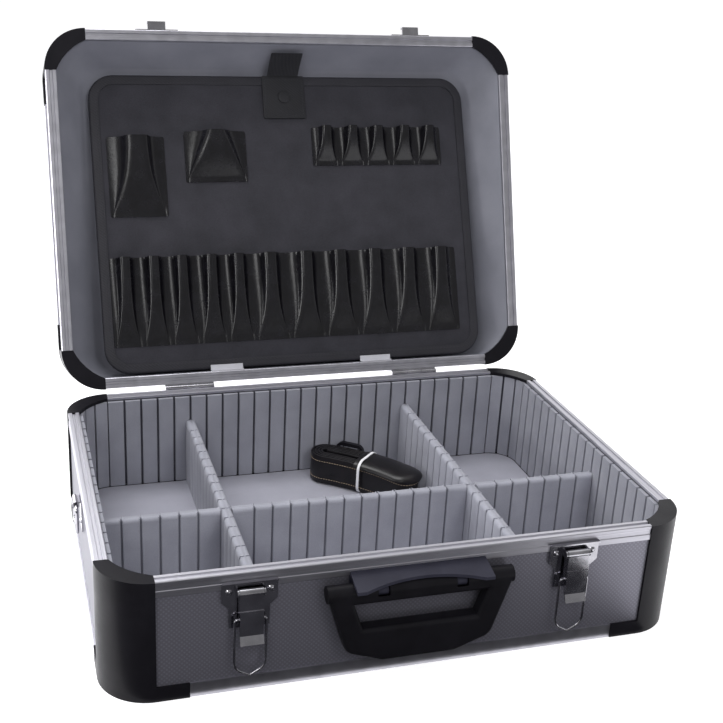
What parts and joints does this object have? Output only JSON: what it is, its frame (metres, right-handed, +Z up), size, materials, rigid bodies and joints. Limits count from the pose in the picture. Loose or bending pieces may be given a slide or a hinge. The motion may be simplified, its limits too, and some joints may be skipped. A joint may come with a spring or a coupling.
{
  "type": "tool case",
  "caption": "Hard tool case with a hinged lid, tool board with pockets, foam lining with loose dividers, draw latches and a drop handle.",
  "frame": {"origin": "the middle of the base's underside, on the surface that the case stands on", "axes": "+X to the right as seen from the latches, +Y from the latches to the hinges, +Z up"},
  "size_m": [0.467, 0.5129, 0.4183],
  "materials": {
    "shell_board": "fine embossed sheet",
    "floor_board": "plain sheet",
    "corner_plastic": "satin",
    "rail_aluminium": "satin anodised",
    "foam": "smooth grey foam",
    "lining": "smooth grey",
    "board_cloth": "short grey pile",
    "vinyl": "glossy black",
    "handle_plastic": "satin black",
    "strap_hide": "glossy black with tan stitches",
    "tie_white": "plain",
    "hook_black": "black",
    "clip_grey": "plain",
    "bright_metal": "bright plate"
  },
  "bodies": {
    "base": {"base_bottom_edges": "rail_aluminium", "base_corner_front_left": "corner_plastic", "base_corner_front_right": "corner_plastic", "base_corner_rear_left": "corner_plastic", "base_corner_rear_right": "corner_plastic", "base_floor_panel": "floor_board", "base_front_wall": "shell_board", "base_left_wall": "shell_board", "base_rear_wall": "shell_board", "base_right_wall": "shell_board", "base_rim_corners": "corner_plastic", "base_rim_front": "rail_aluminium", "base_rim_left": "rail_aluminium", "base_rim_rear": "rail_aluminium", "base_rim_right": "rail_aluminium", "base_rivets": "bright_metal", "floor_foam": "foam", "handle_mount": "handle_plastic", "handle_pin": "bright_metal", "hinge_base_leaves": "bright_metal", "hinge_pins": "bright_metal", "latch_pins": "bright_metal", "latch_plate_left": "bright_metal", "latch_plate_right": "bright_metal", "shoulder_strap": "strap_hide", "strap_brackets": "bright_metal", "strap_hook": "hook_black", "strap_tie": "tie_white", "wall_foam": "foam"},
    "lid": {"lid_corners": "corner_plastic", "lid_front_wall": "shell_board", "lid_lining": "lining", "lid_rear_wall": "shell_board", "lid_rim_rails": "rail_aluminium", "lid_rivets": "bright_metal", "lid_side_walls": "shell_board", "lid_top_edges": "rail_aluminium", "lid_top_panel": "shell_board", "board_clips": "clip_grey", "hinge_lid_leaves": "bright_metal", "latch_catches": "bright_metal"},
    "tool_board": {"tool_board": "board_cloth", "board_binding": "vinyl", "large_pocket": "vinyl", "medium_pocket": "vinyl", "small_pocket_strip": "vinyl", "long_pocket_strip": "vinyl", "board_tab": "vinyl"},
    "handle": {"handle_grip": "handle_plastic"},
    "lever_left": {"latch_lever_left": "bright_metal"},
    "bail_left": {"latch_bail_left": "bright_metal"},
    "ring_left": {"strap_ring_left": "bright_metal"},
    "lever_right": {"latch_lever_right": "bright_metal"},
    "bail_right": {"latch_bail_right": "bright_metal"},
    "ring_right": {"strap_ring_right": "bright_metal"},
    "divider_left": {"divider_left": "foam"},
    "divider_right": {"divider_right": "foam"},
    "cross_divider_left": {"cross_divider_left": "foam"},
    "cross_divider_middle": {"cross_divider_middle": "foam"},
    "cross_divider_right": {"cross_divider_right": "foam"}
  },
  "joints": [
    {"name": "lid_hinge", "type": "hinge", "parent": "base", "child": "lid", "pos_m": [0, 0.1675, 0.0972], "axis": [-1, 0, 0], "range_deg": [-109, 0]},
    {"name": "board_tilt", "type": "hinge", "parent": "lid", "child": "tool_board", "pos_m": [0, 0.1832, 0.11314], "axis": [1, 0, 0], "range_deg": [0, 15]},
    {"name": "handle_swing", "type": "hinge", "parent": "base", "child": "handle", "pos_m": [0, -0.1722, 0.076], "axis": [-1, 0, 0], "range_deg": [0, 78]},
    {"name": "lever_left_swing", "type": "hinge", "parent": "base", "child": "lever_left", "pos_m": [-0.1245, -0.1705, 0.0845], "axis": [-1, 0, 0], "range_deg": [0, 150]},
    {"name": "bail_left_swing", "type": "hinge", "parent": "lever_left", "child": "bail_left", "pos_m": [-0.1245, -0.1698, 0.063], "axis": [1, 0, 0], "range_deg": [-180, 0]},
    {"name": "ring_left_swing", "type": "hinge", "parent": "base", "child": "ring_left", "pos_m": [-0.2305, 0, 0.076], "axis": [0, 1, 0], "range_deg": [0, 150]},
    {"name": "lever_right_swing", "type": "hinge", "parent": "base", "child": "lever_right", "pos_m": [0.1245, -0.1705, 0.0845], "axis": [-1, 0, 0], "range_deg": [0, 150]},
    {"name": "bail_right_swing", "type": "hinge", "parent": "lever_right", "child": "bail_right", "pos_m": [0.1245, -0.1698, 0.063], "axis": [1, 0, 0], "range_deg": [-180, 0]},
    {"name": "ring_right_swing", "type": "hinge", "parent": "base", "child": "ring_right", "pos_m": [0.2305, 0, 0.076], "axis": [0, -1, 0], "range_deg": [0, 150]},
    {"name": "divider_left_lift", "type": "slide", "parent": "base", "child": "divider_left", "axis": [0, 0, 1], "range_m": [0, 0.095]},
    {"name": "divider_right_lift", "type": "slide", "parent": "base", "child": "divider_right", "axis": [0, 0, 1], "range_m": [0, 0.095]},
    {"name": "cross_divider_left_lift", "type": "slide", "parent": "base", "child": "cross_divider_left", "axis": [0, 0, 1], "range_m": [0, 0.095]},
    {"name": "cross_divider_middle_lift", "type": "slide", "parent": "base", "child": "cross_divider_middle", "axis": [0, 0, 1], "range_m": [0, 0.095]},
    {"name": "cross_divider_right_lift", "type": "slide", "parent": "base", "child": "cross_divider_right", "axis": [0, 0, 1], "range_m": [0, 0.095]}
  ]
}
